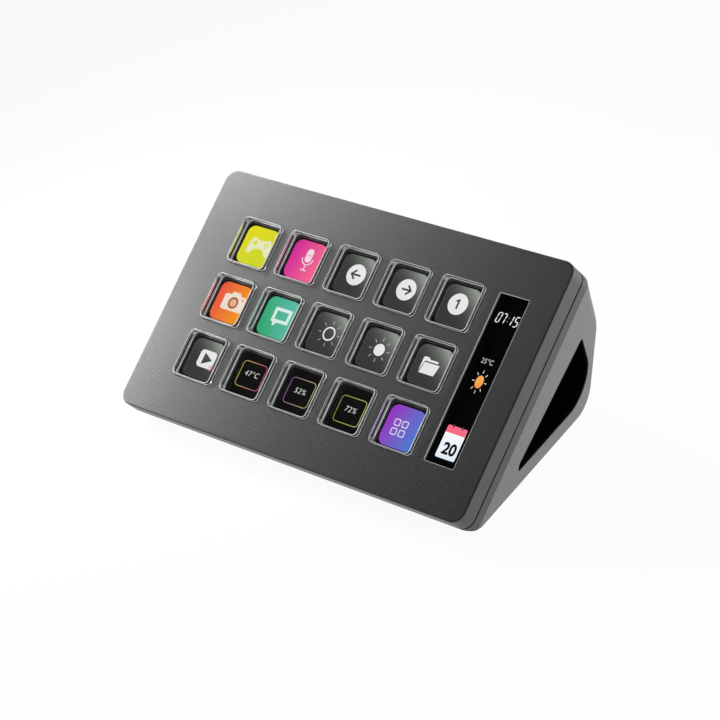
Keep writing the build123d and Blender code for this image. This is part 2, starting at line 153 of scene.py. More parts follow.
class Finish:
    def __init__(self, name, **constants):
        self.material = bpy.data.materials.new(name)
        self.material.use_nodes = True
        self.tree = self.material.node_tree
        self.shader = self.tree.nodes["Principled BSDF"]
        for socket, value in constants.items():
            self.feed(self.shader.inputs[socket.replace("_", " ")], value)

    def feed(self, socket, value):
        if isinstance(value, Value):
            self.tree.links.new(value.socket, socket)
        elif socket.type == "RGBA":
            socket.default_value = (*value[:3], 1)
        else:
            socket.default_value = value

    def node(self, kind, settings=None, sockets=None, output=0):
        made = self.tree.nodes.new(kind)
        for name, value in (settings or {}).items():
            setattr(made, name, value)
        for name, value in (sockets or {}).items():
            self.feed(made.inputs[name], value)
        return Value(self, made.outputs[output])

    def sum(self, operation, first, second):
        return self.node("ShaderNodeMath", {"operation": operation}, {0: first, 1: second})

    def place(self):
        return self.node("ShaderNodeTexCoord", output="Object")

    def faceSpot(self):
        # Millimetres across the face from its middle, up it and behind it
        spot = []
        for way in ((1, 0, 0), (0, 1, 0), (0, 0, -1)):
            axis = faceFrame.to_3x3() @ Vector(way)
            sockets = {0: self.place(), 1: axis}
            along = self.node("ShaderNodeVectorMath", {"operation": "DOT_PRODUCT"}, sockets, 1)
            spot.append((along - axis.dot(faceFrame.translation)) * (1 / mm))
        return spot

    def size(self, value):
        return self.sum("ABSOLUTE", value, 0.0)

    def step(self, value, steepness):
        # From 0 to 1 as the value passes zero
        rise = value * steepness
        rise.socket.node.use_clamp = True
        return rise

    def noise(self, scale, detail=2, roughness=0.5, vector=None):
        sockets = {"Vector": vector or self.place(), "Scale": scale}
        sockets.update({"Detail": detail, "Roughness": roughness})
        return self.node("ShaderNodeTexNoise", None, sockets)

    def blendColours(self, factor, first, second):
        return self.node("ShaderNodeMix", {"data_type": "RGBA"}, {0: factor, 6: first, 7: second}, 2)

    def bump(self, height, strength, distance):
        sockets = {"Height": height, "Strength": strength, "Distance": distance * mm}
        self.feed(self.shader.inputs["Normal"], self.node("ShaderNodeBump", None, sockets))

    def paint(self, **sockets):
        for name, value in sockets.items():
            self.feed(self.shader.inputs[name.replace("_", " ")], value)
        return self.material

    def mixShaders(self, factor, first, second):
        return self.node("ShaderNodeMixShader", None, {0: factor, 1: first, 2: second})

    def surface(self):
        return Value(self, self.shader.outputs[0])

    def show(self, surface):
        self.tree.links.new(surface.socket, self.tree.nodes["Material Output"].inputs["Surface"])
        return self.material


def linear(hexColour):
    # sRGB hex to scene-linear numbers
    parts = [int(hexColour[i:i + 2], 16) / 255 for i in (0, 2, 4)]
    return tuple(p / 12.92 if p <= 0.04045 else ((p + 0.055) / 1.055) ** 2.4 for p in parts)


def shade(colour, amount):
    return tuple(min(part * amount, 1) for part in colour)


def grey(level):
    return (level, level, level)


# Floor and surroundings: white to the eye and in reflections, grey as a light


def whiteToTheEye(finish):
    path = {name: finish.node("ShaderNodeLightPath", output=name)
            for name in ("Is Camera Ray", "Is Glossy Ray", "Is Transmission Ray")}
    seen = path["Is Camera Ray"] + path["Is Glossy Ray"] + path["Is Transmission Ray"]
    return finish.node("ShaderNodeMath", {"operation": "MINIMUM"}, {0: seen, 1: 1.0})


def makeFloor():
    shape = bmesh.new()
    bmesh.ops.create_grid(shape, x_segments=1, y_segments=1, size=surround["floorSize"] / 2)
    data = bpy.data.meshes.new("floor")
    shape.to_mesh(data)
    floor = bpy.data.objects.new("floor", data)
    bpy.context.scene.collection.objects.link(floor)
    finish = Finish("paleFloor", Roughness=surround["floorRoughness"], Specular_IOR_Level=0.0)
    pale = grey(surround["floorWhite"])
    mottle = finish.noise(surround["floorMottle"])
    finish.paint(Base_Color=finish.blendColours(mottle, pale, shade(pale, surround["floorShade"])))
    glow = finish.node("ShaderNodeEmission", None, {"Color": grey(1), "Strength": 1.0})
    seen = whiteToTheEye(finish) * surround["floorGlow"]
    data.materials.append(finish.show(finish.mixShaders(seen, finish.surface(), glow)))


class SkyFinish(Finish):
    def __init__(self, world):
        self.material, self.tree = world, world.node_tree


def makeSky():
    world = bpy.data.worlds.new("studio")
    world.use_nodes = True
    bpy.context.scene.world = world
    sky = SkyFinish(world)
    seen = sky.node("ShaderNodeLightPath", output="Is Camera Ray")
    background = world.node_tree.nodes["Background"]
    background.inputs["Color"].default_value = (1, 1, 1, 1)
    sky.feed(background.inputs["Strength"], surround["sky"] + seen * (1 - surround["sky"]))


makeCamera()
makeLamps()
makeFloor()
makeSky()
print("stage made")

# Finishes of the case

moulding = {
    "detail": 3, "detailRoughness": 0.6, "bump": 0.6, "glossSpread": 0.12,
    "cloudSize": 60, "cloudShare": 0.2,  # size in grains
}
plain = {"detail": 3, "detailRoughness": 0.6, "dark": 0.8, "pale": 1.2, "bump": 0.3, "glossSpread": 0.1}
brushed = {"dark": 0.8, "pale": 1.15, "bump": 0.2, "depth": 0.01, "glossSpread": 0.15}
# Where the painted light on the face's sides begins; its sharpness also edges the painted shade line round
# the key holes
paintedLightBounds = {"behind": 0.3, "within": 2, "sharpness": 4}  # mm behind the face and in from its outline
# A painted shade line round each key hole, near-black and duller, standing in for the shade in the gap
# between hole and keycap
holeShadeLine = {
    "from": 8.0, "corner": 1.95, "width": 0.3, "sharpness": 8,
    "tone": (0.0015, 0.0015, 0.0015), "dullness": 0.6,
}
tones = {
    # each a dark and a pale end of the grain
    "face": ((0.003, 0.003, 0.0032), (0.027, 0.027, 0.028)),
    # side: the face's plastic painted paler, as painted light on the walls that face sideways
    "side": ((0.026, 0.026, 0.0265), (0.050, 0.050, 0.051)),
    "keyFrame": ((0.010, 0.010, 0.0102), (0.034, 0.034, 0.035)),
    # rear: the same plastic painted paler still, as painted light on the sloping rear walls
    "rear": ((0.066, 0.066, 0.067), (0.110, 0.110, 0.111)),
    # liner: near-black, painted shade for the inside of the tunnel
    "liner": ((0.001, 0.001, 0.001), (0.003, 0.003, 0.003)),
    "inner": ((0.010, 0.010, 0.011), (0.016, 0.016, 0.017)),
    "foot": ((0.012, 0.012, 0.012), (0.022, 0.022, 0.022)),
}


def fineGrain(finish, grain, height):
    fine = finish.noise(grain, moulding["detail"], moulding["detailRoughness"])
    finish.bump(fine, moulding["bump"], height)
    return fine


def grainGloss(roughness, fine, spread=moulding["glossSpread"]):
    return roughness - spread / 2 + fine * spread


def mouldedPlastic(name, tone, roughness, grain, grainHeight, gloss=0.5):
    # Spark-eroded plastic: a fine even grain with faint clouds in its tone
    finish = Finish(name, Specular_IOR_Level=gloss)
    fine = fineGrain(finish, grain, grainHeight)
    cloud = finish.noise(grain / moulding["cloudSize"])
    share = moulding["cloudShare"]
    colour = finish.blendColours(fine * (1 - share) + cloud * share, *tones[tone])
    return finish.paint(Base_Color=colour, Roughness=grainGloss(roughness, fine))


def paintedLightMask(finish, across, up, depth):
    # 1 on the outer walls, where the sides are painted paler as painted light, and 0 on the face, also where
    # its holes go through
    square = (face["width"] - face["height"]) / 2
    fromMiddle = finish.sum("MAXIMUM", finish.size(across), finish.size(up) + square)
    inwards = fromMiddle - face["width"] / 2 + paintedLightBounds["within"]
    sharpness = paintedLightBounds["sharpness"]
    return finish.step(depth - paintedLightBounds["behind"], sharpness) * finish.step(inwards, sharpness)


def shadeLineMask(finish, across, up):
    # 1 in a thin line round each key hole, with the hole's rounded corners: where the painted shade of the
    # gap round each keycap goes
    pitch, corner = grid["pitch"], holeShadeLine["corner"]
    fromGrid = across - grid["x"]
    past = []
    for value in (fromGrid, up):
        toKey = finish.sum("PINGPONG", value + pitch * 10, pitch / 2)
        past.append(finish.sum("MAXIMUM", toKey - (holeShadeLine["from"] - corner), 0.0))
    fromHole = finish.sum("SQRT", past[0] * past[0] + past[1] * past[1], 0.0) - corner
    inRows = finish.step(grid["rows"] / 2 * pitch - finish.size(up), paintedLightBounds["sharpness"])
    inCols = finish.step(grid["cols"] / 2 * pitch - finish.size(fromGrid), paintedLightBounds["sharpness"])
    return finish.step(holeShadeLine["width"] - fromHole, holeShadeLine["sharpness"]) * inRows * inCols


def facePlastic(name, roughness, grain, grainHeight):
    # One moulding in one plastic: dark on the face, its sides painted paler as painted light, and a painted
    # shade line round each key hole
    finish = Finish(name)
    fine = fineGrain(finish, grain, grainHeight)
    across, up, depth = finish.faceSpot()
    # rim: the painted shade line round the key holes
    rim = shadeLineMask(finish, across, up)
    front = finish.blendColours(rim, finish.blendColours(fine, *tones["face"]), holeShadeLine["tone"])
    side = finish.blendColours(fine, *tones["side"])
    colour = finish.blendColours(paintedLightMask(finish, across, up, depth), front, side)
    return finish.paint(Base_Color=colour, Roughness=grainGloss(roughness, fine) + rim * holeShadeLine["dullness"])


def plainFinish(name, colour, roughness, scale, metallic=0.0, depth=0.01, coat=0.0, gloss=0.5):
    # Small-scale mottling for parts inside the case
    finish = Finish(name, Metallic=metallic, Coat_Weight=coat, Specular_IOR_Level=gloss)
    mottle = finish.noise(scale, plain["detail"], plain["detailRoughness"])
    tone = finish.blendColours(mottle, shade(colour, plain["dark"]), shade(colour, plain["pale"]))
    finish.bump(mottle, plain["bump"], depth)
    return finish.paint(Base_Color=tone, Roughness=grainGloss(roughness, mottle, plain["glossSpread"]))


def brushedMetal(name, colour, roughness, along):
    # Fine lines that run along one axis
    finish = Finish(name, Metallic=1.0)
    stretched = finish.node("ShaderNodeMapping", None, {"Vector": finish.place(), "Scale": along})
    lines = finish.noise(1, vector=stretched)
    tone = finish.blendColours(lines, shade(colour, brushed["dark"]), shade(colour, brushed["pale"]))
    finish.bump(lines, brushed["bump"], brushed["depth"])
    return finish.paint(Base_Color=tone, Roughness=roughness + lines * brushed["glossSpread"])


# Name, tones, roughness, grain and its height in mm
frontPaintedLightAndShade = facePlastic("frontPaintedLightAndShade", 0.40, 1900, 0.12)
# The band and the rear shell take the paler tones: painted light on the sideways and rear walls
bandPaintedLightPlastic = mouldedPlastic("bandPaintedLightPlastic", "side", 0.44, 2400, 0.04)
keyFramePlastic = mouldedPlastic("keyFramePlastic", "keyFrame", 0.44, 2400, 0.04)
rearPaintedLightPlastic = mouldedPlastic("rearPaintedLightPlastic", "rear", 0.40, 2400, 0.04)
# Near-black and without gloss: painted shade for the tunnel's hollow
linerPaintedShade = mouldedPlastic("linerPaintedShade", "liner", 0.9, 2200, 0.03, gloss=0.0)
innerPlastic = mouldedPlastic("innerPlastic", "inner", 0.6, 2600, 0.02)
rubber = mouldedPlastic("footRubber", "foot", 0.85, 1800, 0.05)

cadFinishes = {
    "front_shell": frontPaintedLightAndShade,
    "mid_frame": bandPaintedLightPlastic,
    "rear_shell": rearPaintedLightPlastic,
    "tunnel_liner": linerPaintedShade,
    "key_guide": innerPlastic,
    "contact_board": plainFinish("blackSolderMask", (0.012, 0.014, 0.016), 0.35, 700, coat=0.3),
    "key_flex": plainFinish("amberFilm", (0.48, 0.24, 0.05), 0.3, 400, coat=0.4),
    "strip_lens": plainFinish("displayCover", (0.002, 0.002, 0.0022), 0.12, 300,
                              depth=0.001, gloss=0.12),
    "strip_spacer": innerPlastic,
    "lcd_glass": plainFinish("displayGlass", (0.006, 0.006, 0.008), 0.1, 200, coat=0.5, depth=0.001),
    "lcd_backlight": brushedMetal("trayMetal", (0.66, 0.67, 0.68), 0.3, (60, 1800, 1800)),
    "lcd_flex": plainFinish("amberFilmWide", (0.48, 0.24, 0.05), 0.3, 400, coat=0.4),
    "main_board": plainFinish("greenSolderMask", (0.015, 0.12, 0.05), 0.3, 500, coat=0.4),
    "processor_chip": plainFinish("chipMould", (0.02, 0.02, 0.021), 0.5, 2200),
    "memory_chip": plainFinish("chipMouldSmall", (0.022, 0.022, 0.023), 0.5, 2600),
    "clock_crystal": brushedMetal("canMetal", (0.70, 0.70, 0.68), 0.22, (2400, 2400, 200)),
    "board_passives": plainFinish("firedCeramic", (0.42, 0.30, 0.18), 0.45, 2500),
    "flex_sockets": plainFinish("ivoryPlastic", (0.66, 0.62, 0.52), 0.4, 1500),
    "usb_socket": brushedMetal("drawnShell", (0.68, 0.68, 0.69), 0.25, (2400, 300, 300)),
    "case_screws": brushedMetal("platedScrew", (0.58, 0.58, 0.59), 0.28, (2000, 2000, 2000)),
    "board_screws": brushedMetal("platedBoardScrew", (0.58, 0.58, 0.59), 0.28, (2200, 2200, 2200)),
    "tunnel_screws": brushedMetal("blackenedScrew", (0.10, 0.10, 0.10), 0.35, (2000, 2000, 2000)),
    "base_screws": brushedMetal("baseScrew", (0.45, 0.45, 0.46), 0.3, (2000, 2000, 2000)),
    "front_foot": rubber,
    "rear_foot": rubber,
}
for name, material in cadFinishes.items():
    for holder in nodes[name].material_slots:
        holder.material = material
print("case finished")

# Mesh helpers


def roundedFace(shape, width, height, radius, segments=8):
    # One flat face with rounded corners, round the origin
    corners = bmesh.ops.create_grid(shape, x_segments=1, y_segments=1, size=0.5)["verts"]
    bmesh.ops.scale(shape, vec=(width, height, 1), verts=corners)
    bmesh.ops.bevel(shape, geom=corners, offset=radius, segments=segments, profile=0.5,
                    affect="VERTICES", material=-1)
    return shape.faces[:][-1]


def raised(shape, flat, height):
    # Extrudes a face along Z and gives back the face at its end
    attached = any(len(edge.link_faces) > 1 for edge in flat.edges)
    grown = bmesh.ops.extrude_face_region(shape, geom=[flat])["geom"]
    if attached:
        bmesh.ops.delete(shape, geom=[flat], context="FACES_ONLY")
    points = [part for part in grown if isinstance(part, bmesh.types.BMVert)]
    bmesh.ops.translate(shape, vec=(0, 0, height), verts=points)
    return [part for part in grown if isinstance(part, bmesh.types.BMFace)][0]


def finishPiece(shape, name, place, body, materials):
    # Millimetres round the origin become metres in place
    bmesh.ops.transform(shape, matrix=place @ Matrix.Scale(mm, 4), verts=shape.verts)
    data = bpy.data.meshes.new(name)
    shape.to_mesh(data)
    shape.free()
    for material in materials:
        data.materials.append(material)
    piece = bpy.data.objects.new(name, data)
    bpy.context.scene.collection.objects.link(piece)
    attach(piece, body)
    return piece


def arc(x, y, radius, start, end, steps=10):
    turn = [math.radians(start + (end - start) * i / steps) for i in range(steps + 1)]
    return [(x + radius * math.cos(t), y + radius * math.sin(t)) for t in turn]


def disc(x, y, radius):
    return arc(x, y, radius, 0, 360, 40)[:-1]


def box(x, y, width, height, radius=0.0, steps=6):
    right, top = width / 2 - radius, height / 2 - radius
    corners = [(right, top, 0), (-right, top, 90), (-right, -top, 180), (right, -top, 270)]
    if not radius:
        return [(x + a, y + b) for a, b, turn in corners]
    return [p for a, b, turn in corners for p in arc(x + a, y + b, radius, turn, turn + 90, steps)]


def bar(x, y, angle, near, far, width):
    # A straight stroke that points away from x, y
    c, s = math.cos(math.radians(angle)), math.sin(math.radians(angle))
    ends = [(near, -width / 2), (far, -width / 2), (far, width / 2), (near, width / 2)]
    return [(x + a * c - b * s, y + a * s + b * c) for a, b in ends]


def ring(x, y, radius, width):
    return [disc(x, y, radius), disc(x, y, radius - width)]


def frameLine(x, y, width, height, radius, line):
    return [box(x, y, width, height, radius),
            box(x, y, width - 2 * line, height - 2 * line, max(radius - line, 0.05))]


filmThickness = 0.02  # of everything drawn, in mm


def curveMesh(data):
    # A curve or text object becomes a mesh, still in its own drawing plane
    holder = bpy.data.objects.new("drawing", data)
    bpy.context.scene.collection.objects.link(holder)
    depsgraph = bpy.context.evaluated_depsgraph_get()
    mesh = bpy.data.meshes.new_from_object(holder.evaluated_get(depsgraph))
    bpy.data.objects.remove(holder)
    bpy.data.curves.remove(data)
    return mesh


def addMesh(shape, mesh, height, materialIndex):
    mesh.transform(Matrix.Translation((0, 0, height)))
    before = len(shape.faces)
    shape.from_mesh(mesh)
    shape.faces.ensure_lookup_table()
    for i in range(before, len(shape.faces)):
        shape.faces[i].material_index = materialIndex
    bpy.data.meshes.remove(mesh)


def softened(points, rounds=3):
    # Cuts every corner of an outline a few times, which leaves a smooth one
    for _ in range(rounds):
        ends = zip(points, points[1:] + points[:1])
        points = [(a + (c - a) * t, b + (d - b) * t) for (a, b), (c, d) in ends for t in (0.25, 0.75)]
    return points


def drawShape(shape, outlines, height, materialIndex, thick=filmThickness):
    # Outlines inside others are holes
    data = bpy.data.curves.new("outline", "CURVE")
    data.dimensions, data.fill_mode, data.extrude = "2D", "BOTH", thick / 2
    for points in outlines:
        spline = data.splines.new("POLY")
        spline.points.add(len(points) - 1)
        for point, (x, y) in zip(spline.points, points):
            point.co = (x, y, 0, 1)
        spline.use_cyclic_u = True
    addMesh(shape, curveMesh(data), height, materialIndex)


def chart(shape, low, high):
    # One picture coordinate over the piece, from low to high
    for layer in list(shape.loops.layers.uv):
        shape.loops.layers.uv.remove(layer)
    layer = shape.loops.layers.uv.new("picture")
    for part in shape.faces:
        for loop in part.loops:
            loop[layer].uv = [(loop.vert.co[i] - low[i]) / (high[i] - low[i]) for i in (0, 1)]


def drawText(shape, words, x, y, size, height, materialIndex, bold=0.0, lean=0.0, narrow=1.0, spread=1.0):
    data = bpy.data.curves.new("words", "FONT")
    data.body, data.size, data.extrude = words, size, filmThickness / 2
    data.align_x, data.align_y = "CENTER", "CENTER"
    data.offset, data.shear, data.space_character = bold, lean, spread
    mesh = curveMesh(data)
    mesh.transform(Matrix.Translation((x, y, 0)) @ Matrix.Diagonal((narrow, 1, 1, 1)))
    addMesh(shape, mesh, height, materialIndex)


# Clear keycaps, in mm from the face

cap = {
    "width": 15.3, "height": 15.5, "corner": 1.5, "edge": 0.17, "top": 1.5,
    "bead": 0.1, "beadTop": 0.2, "beadBottom": -0.1,
    "flange": 1.0, "flangeThick": 0.8, "flangeTop": -1.7, "bottom": -3.0,
}
clearPlastic = {"index": 1.49, "mottle": 700, "veilSpread": 0.04, "veilDark": 0.9, "lampPass": 0.92}


def acrylic(name, veil=0.0, tone=0.5, roughness=0.4, blur=0.0):
    # Clear plastic that lets lamplight straight through, under a thin veil of pale satin
    finish = Finish(name, Transmission_Weight=1.0, IOR=clearPlastic["index"], Roughness=blur)
    faint = finish.noise(clearPlastic["mottle"], plain["detail"], plain["detailRoughness"])
    finish.paint(Base_Color=finish.blendColours(faint, (0.98, 0.98, 0.98), (0.95, 0.96, 0.96)))
    surface = finish.surface()
    if veil:
        pale = finish.blendColours(faint, grey(tone), grey(tone * clearPlastic["veilDark"]))
        satin = finish.node("ShaderNodeBsdfPrincipled", None, {"Base Color": pale, "Roughness": roughness})
        spread = clearPlastic["veilSpread"]
        surface = finish.mixShaders(veil - spread / 2 + faint * spread, surface, satin)
    lamplight = finish.node("ShaderNodeLightPath", output="Is Shadow Ray") * clearPlastic["lampPass"]
    return finish.show(finish.mixShaders(lamplight, surface, finish.node("ShaderNodeBsdfTransparent")))


# Name, veil, its tone and roughness, and the blur of what shows through
capTop = acrylic("clearAcrylic")
capWall = acrylic("sideAcrylic", 0.35, 0.04, 0.5)
# The edges and the bead get a pale satin veil as painted highlight: it stands in for the bright lines along
# the caps' edges
capEdgeHighlight = acrylic("edgeHighlightAcrylic", 0.75, 0.9, 0.4, 0.2)
capBeadHighlight = acrylic("beadHighlightAcrylic", 0.85, 0.5, 0.4, 0.2)


def widened(shape, flat, rise, outwards):
    # Extrudes a face along Z with its rim moved outwards, which leaves a sloping wall
    end = raised(shape, flat, rise)
    spans = [max(v.co[i] for v in end.verts) - min(v.co[i] for v in end.verts) for i in (0, 1)]
    grow = (*[1 + 2 * outwards / span for span in spans], 1)
    bmesh.ops.scale(shape, vec=grow, verts=end.verts[:])
    return end


def capFinish(level):
    # Which of the cap's finishes a face has: flat end, wall, rounded edge or bead; the rounded edge and the
    # bead carry painted highlight
    toEnd = min(level - cap["bottom"], cap["top"] - level)
    if toEnd < 1e-4:
        return 0
    if toEnd < cap["edge"]:
        return 2
    return 3 if onBead(level) else 1


def onBead(level):
    return cap["beadBottom"] < level < cap["beadTop"]


def clearCap(name, body, x, y):
    # Grown from its flange: up to the bead at the foot and the top, and down to the bottom
    shape = bmesh.new()
    rim = 2 * cap["flange"]
    base = roundedFace(shape, cap["width"] + rim, cap["height"] + rim, cap["corner"] + cap["flange"], 10)
    top = raised(shape, base, cap["flangeThick"])
    bmesh.ops.inset_region(shape, faces=[top], thickness=cap["flange"], use_even_offset=True)
    halfBead = (cap["beadTop"] - cap["beadBottom"]) / 2
    top = raised(shape, top, cap["beadBottom"] - cap["flangeTop"])
    top = widened(shape, top, halfBead, cap["bead"])
    top = widened(shape, top, halfBead, -cap["bead"])
    top = raised(shape, top, cap["top"] - cap["beadTop"])
    shape.faces.ensure_lookup_table()
    low = min(shape.faces, key=lambda part: part.calc_center_median().z)
    bmesh.ops.inset_region(shape, faces=[low], thickness=cap["flange"], use_even_offset=True)
    flangeBottom = cap["flangeTop"] - cap["flangeThick"]
    low = raised(shape, low, cap["bottom"] - flangeBottom)
    bmesh.ops.recalc_face_normals(shape, faces=shape.faces)
    bmesh.ops.bevel(shape, geom=top.edges[:] + low.edges[:], offset=cap["edge"], segments=4,
                    profile=0.5, affect="EDGES", material=-1)
    bmesh.ops.translate(shape, vec=(0, 0, flangeBottom), verts=shape.verts)
    for part in shape.faces:
        level = part.calc_center_median().z
        part.smooth = part.calc_area() < 4 and not onBead(level)
        part.material_index = capFinish(level)
    looks = [capTop, capWall, capEdgeHighlight, capBeadHighlight]
    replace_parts(finishPiece(shape, name, onFace(x, y, 0), body, looks), name)


# Pictures under the keys, in mm from the face

film = {"size": 15.0, "corner": 2.2, "top": -3.12, "thick": 0.15}
tile = {"width": 12.6, "height": 13.0, "corner": 2.6, "y": -0.3, "gap": 1.0}
groundLook, markLook, extraLook = 1, 2, 3  # places in a picture's list of finishes, after the film's own


def glowing(name, low, high, angle, power=1.0):
    # A lit picture: its colour runs from low to high across the tile, along the angle
    finish = Finish(name, Base_Color=(0.002, 0.002, 0.002), Roughness=0.6,
                    Specular_IOR_Level=0.0, Emission_Strength=1.0)
    c, s = math.cos(math.radians(angle)), math.sin(math.radians(angle))
    spot = finish.node("ShaderNodeTexCoord", output="UV")
    across = finish.node("ShaderNodeSeparateXYZ", None, {0: spot})
    up = Value(finish, across.socket.node.outputs[1])
    factor = (across - 0.5) * c + (up - 0.5) * s + 0.5
    factor.socket.node.use_clamp = True
    if power != 1:
        factor = factor.sum("POWER", factor, power)
    return finish.paint(Emission_Color=finish.blendColours(factor, low, high))


black = glowing("unlitDisplay", linear("030303"), linear("060606"), 90)
white = glowing("litWhite", linear("ECECEA"), linear("F8F8F6"), 45)
greyTile = glowing("greyTile", linear("393B38"), linear("969B95"), 50, 4)
greyMark = glowing("greyMark", linear("3A3C3A"), linear("484A48"), 50)
greyRay = glowing("greyRay", linear("8C8E8A"), linear("B4B6B2"), 50)
pictureLooks = {
    "lime": (glowing("limeTile", linear("ECE61E"), linear("D6E02C"), -60), linear("F4F6C8")),
    "magenta": (glowing("magentaTile", linear("DC2A9E"), linear("FF6A96"), -10), linear("FDE6F2")),
    "coral": (glowing("coralTile", linear("F05A42"), linear("FF9E14"), -10), linear("FFEBDD")),
    "green": (glowing("greenTile", linear("35AE74"), linear("62C4B2"), 20), linear("E6F8F2")),
    "violet": (glowing("violetTile", linear("9A34C8"), linear("4C7CD8"), -15), linear("F2ECFA")),
}
paleMarks = {name: glowing(name + "Mark", shade(mark, 0.95), mark, 60)
             for name, (material, mark) in pictureLooks.items()}

# Each mark is drawn in mm round its own middle


def gamepad(shape, level):
    body = [(-4.7, -1.4), (-4.6, -3.2), (-3.0, -3.2), (-2.0, -1.1), (2.0, -1.1), (3.0, -3.2), (4.6, -3.2),
            (4.7, -1.4), (4.0, 2.0), (2.9, 2.6), (1.4, 1.8), (-1.4, 1.8), (-2.9, 2.6), (-4.0, 2.0)]
    out, up, narrow, wide = 2.35, 0.6, 0.32, 1.0
    cross = [(wide, narrow), (narrow, narrow), (narrow, wide)]
    cross += [(-x, y) for x, y in reversed(cross)]
    cross += [(-x, -y) for x, y in cross]
    crossPad = [(x - out, y + up) for x, y in cross]
    buttons = [disc(out + x, up + y, 0.36) for x, y in ((0.75, 0), (-0.75, 0), (0, 0.75), (0, -0.75))]
    drawShape(shape, [softened(body), crossPad] + buttons, level, markLook)


def microphone(shape, level):
    capsule = arc(0, 2.7, 1.25, 0, 180) + arc(0, 0.6, 1.25, 180, 360)
    drawShape(shape, [capsule, box(0, 1.65, 1.5, 0.22)], level, markLook)
    yoke = arc(0, 0.6, 2.25, 180, 360, 16) + arc(0, 0.6, 1.9, 360, 180, 16)
    drawShape(shape, [yoke, box(0, -2.55, 0.4, 1.5), box(0, -3.35, 2.4, 0.35)], level, markLook)


def arrow(direction):
    def draw(shape, level):
        drawShape(shape, [disc(0, 0, 3.5)], level, markLook)
        shaft = bar(0, 0, direction, -1.7, 1.5, 0.62)
        tip = (1.75 * math.cos(math.radians(direction)), 1.75 * math.sin(math.radians(direction)))
        barbs = [bar(*tip, direction + side, -0.25, 2.15, 0.62) for side in (135, 225)]
        for stroke in [shaft] + barbs:
            drawShape(shape, [stroke], level + filmThickness, extraLook)
    return draw


def numberDisc(shape, level):
    drawShape(shape, [disc(0, 0, 3.45)], level, markLook)
    one = [(0.35, -1.6), (0.35, 1.6), (-0.2, 1.6), (-1.0, 1.05), (-1.0, 0.5), (-0.3, 0.85), (-0.3, -1.6)]
    drawShape(shape, [one], level + filmThickness, extraLook)


def stillCamera(shape, level):
    body = box(0, -0.35, 8.6, 5.3, 0.7)
    bump = [(-2.2, 1.9), (-1.5, 3.3), (1.5, 3.3), (2.2, 1.9)]
    drawShape(shape, [body, disc(0, -0.3, 2.0), disc(3.2, 1.2, 0.42)], level, markLook)
    drawShape(shape, [bump], level, markLook)
    drawShape(shape, [disc(0, -0.3, 1.25)], level, extraLook)
    drawShape(shape, ring(0, -0.3, 2.0, 0.7), level, extraLook + 1)


def speech(shape, level):
    drawShape(shape, [box(0, 0.15, 6.8, 4.9, 0.35), box(0, 0.15, 4.6, 2.8, 0.2)], level, markLook)
    drawShape(shape, [[(-2.6, -2.35), (-0.8, -2.35), (-2.0, -3.7)]], level, markLook)


def sunLines(shape, level):
    drawShape(shape, ring(0, 0, 2.3, 0.5), level, markLook)
    for turn in range(8):
        drawShape(shape, [bar(0, 0, 45 * turn, 3.1, 4.2, 0.32)], level, extraLook)


def sunDisc(shape, level):
    drawShape(shape, [disc(0, 0, 1.95)], level, markLook)
    for turn in range(8):
        drawShape(shape, [bar(0, 0, 45 * turn, 2.8, 3.95, 0.34)], level, extraLook)


def folder(shape, level):
    back = [(-3.1, -2.2), (-3.1, 2.2), (-2.7, 2.6), (-1.2, 2.6), (-0.6, 2.0), (2.5, 2.0), (2.5, 1.35),
            (-2.2, 1.35)]
    front = [(-2.1, 0.95), (3.4, 0.95), (2.7, -2.6), (-2.8, -2.6)]
    drawShape(shape, [back], level, markLook)
    drawShape(shape, [front], level, markLook)


def playTile(shape, level):
    triangle = [(-1.5, 2.0), (-1.5, -2.0), (2.3, 0.0)]
    drawShape(shape, [box(0, 0, 6.6, 5.8, 1.3), triangle], level, markLook)
    drawShape(shape, ring(2.7, -2.4, 0.75, 0.32), level + filmThickness, extraLook)


def fourSquares(shape, level):
    for a in (-1.45, 1.45):
        for b in (-1.45, 1.45):
            drawShape(shape, frameLine(a, b, 2.2, 2.2, 0.5, 0.3), level, markLook)


def meter(words):
    def draw(shape, level):
        drawShape(shape, frameLine(0, 0, 9.7, 8.6, 1.3, 0.2), level, extraLook)
        drawText(shape, words, 0, 0.35, 2.5, level, markLook, bold=-0.03, lean=0.18, spread=1.12)
    return draw


def neon(name, left, right):
    return glowing(name, linear(left), linear(right), 0)


dot = glowing("roseDot", linear("E890AC"), linear("F0A8BC"), 0)
cameraLens = glowing("lensCentre", linear("F0B088"), linear("F6C09A"), 0)
cameraRing = glowing("lensRing", linear("A85830"), linear("B46A38"), 0)

# Each key, row by row: tile look, mark, its shift on the tile, and the extra looks that the mark uses
pictures = [
    ("lime", gamepad, (0.8, 0.1), []),
    ("magenta", microphone, (0.7, 0.0), []),
    ("grey", arrow(180), (0.5, 0.1), [greyMark]),
    ("grey", arrow(0), (0.2, 0.1), [greyMark]),
    ("grey", numberDisc, (-0.3, 0.4), [greyMark]),
    ("coral", stillCamera, (0.9, 0.2), [cameraLens, cameraRing]),
    ("green", speech, (1.0, 0.5), []),
    ("grey", sunLines, (0.7, -0.1), [greyRay]),
    ("grey", sunDisc, (0.5, -0.1), [greyRay]),
    ("grey", folder, (-0.3, -0.2), []),
    ("grey", playTile, (1.1, 0.1), [dot]),
    ("black", meter("47°C"), (0.1, -0.2), [neon("neonRose", "C8C458", "C83090")]),
    ("black", meter("52%"), (0.0, -0.3), [neon("neonViolet", "9A48B0", "C8C858")]),
    ("black", meter("72%"), (0.2, -0.6), [neon("neonLime", "84A848", "D0CC60")]),
    ("violet", fourSquares, (-0.8, -0.6), []),
]


